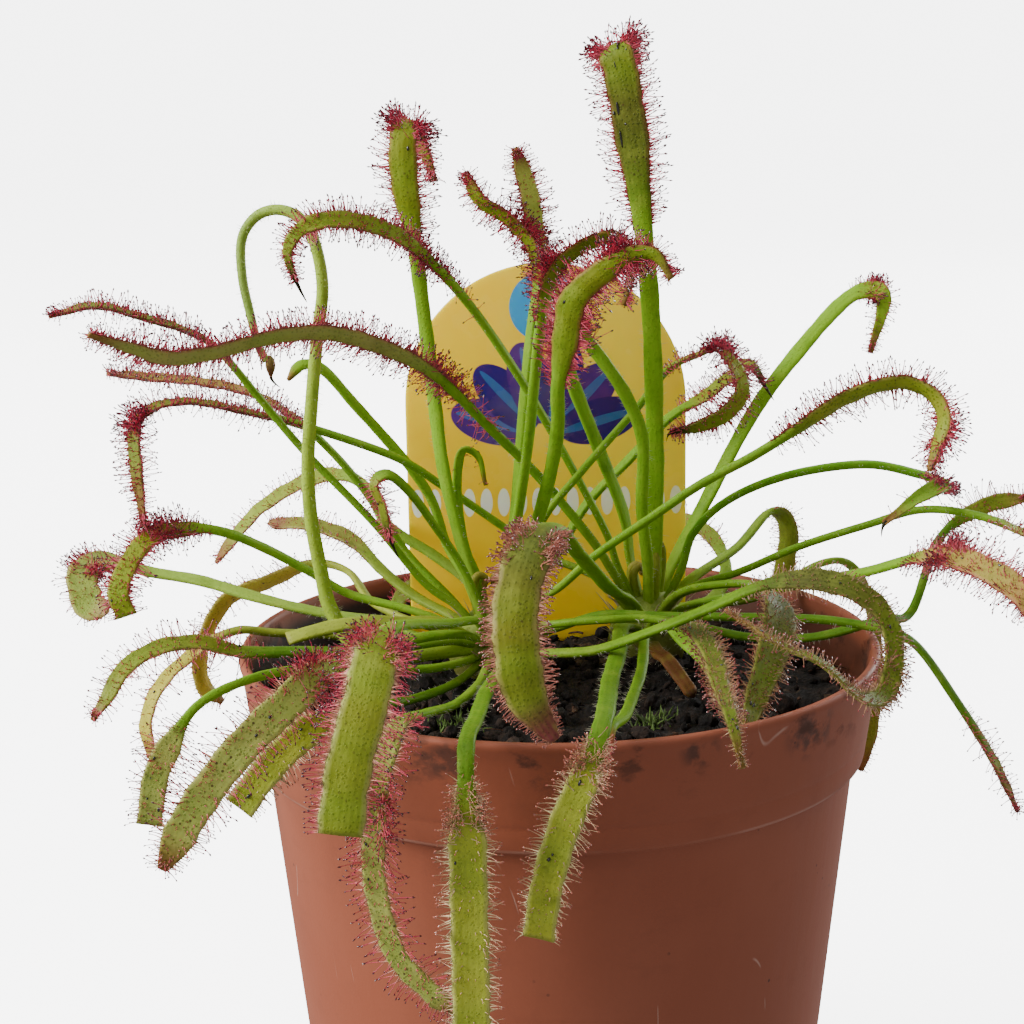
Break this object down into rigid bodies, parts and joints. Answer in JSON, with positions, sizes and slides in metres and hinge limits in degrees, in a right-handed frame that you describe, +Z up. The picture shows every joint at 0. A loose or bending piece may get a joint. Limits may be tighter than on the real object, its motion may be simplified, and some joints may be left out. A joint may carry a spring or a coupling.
{
  "type": "potted sundew plant",
  "caption": "Potted carnivorous plant: slender strap leaves set with sticky tentacles rise and arch over the rim of a round tapered pot, with a plant label standing in the soil.",
  "frame": {"origin": "centre of the underside of the pot, where it stands", "axes": "+Z up along the pot's axis, -Y towards the front, +X to the right seen from the front"},
  "size_m": [0.1491, 0.1105, 0.1625],
  "materials": {
    "pot_plastic": "satin terracotta-brown plastic",
    "soil": "dark crumbly potting mix",
    "label_plastic": "smooth yellow printed plastic",
    "stalk": "soft hairy green stalk",
    "leaf": "soft waxy green leaf",
    "dry_leaf": "dry brown leaf"
  },
  "bodies": {
    "root": {"pot": "pot_plastic", "soil": "soil", "plant_label": "label_plastic", "flower_scape": "stalk", "crown_a": "leaf", "crown_b": "leaf", "dead_leaf": "dry_leaf", "tall_right": "leaf", "right_high": "leaf", "right_arch": "leaf", "right_long": "leaf", "right_near": "leaf", "right_back": "leaf", "rim_rise": "leaf", "right_hang": "leaf", "left_arch_high": "leaf", "left_near": "leaf", "left_square": "leaf", "centre_front": "leaf", "centre_back": "leaf", "centre_bright": "leaf", "front_right": "leaf", "front_right_b": "leaf", "soil_right": "leaf", "rim_right": "leaf", "back_right_wrap": "leaf", "tall_left": "leaf", "left_thin": "leaf", "left_bow": "leaf", "left_back_cup": "leaf", "left_low": "leaf", "left_hook_low": "leaf", "left_broad": "leaf", "left_small": "leaf", "near_broad": "leaf", "front_left": "leaf", "front_centre": "leaf", "centre_thin": "leaf", "centre_thick": "leaf", "centre_fork": "leaf", "curl_right": "leaf", "curl_right_b": "leaf", "right_spotted": "leaf", "right_fold": "leaf", "right_droop": "leaf", "centre_right_hang": "leaf", "young_hook": "leaf", "left_upper_bud": "leaf", "left_withered": "leaf", "left_back_red": "leaf", "back_left_long": "leaf", "back_left_brown": "leaf", "back_left_hang": "leaf", "left_low_back": "leaf", "left_cut": "leaf", "back_left_wrap": "leaf"}
  },
  "joints": []
}
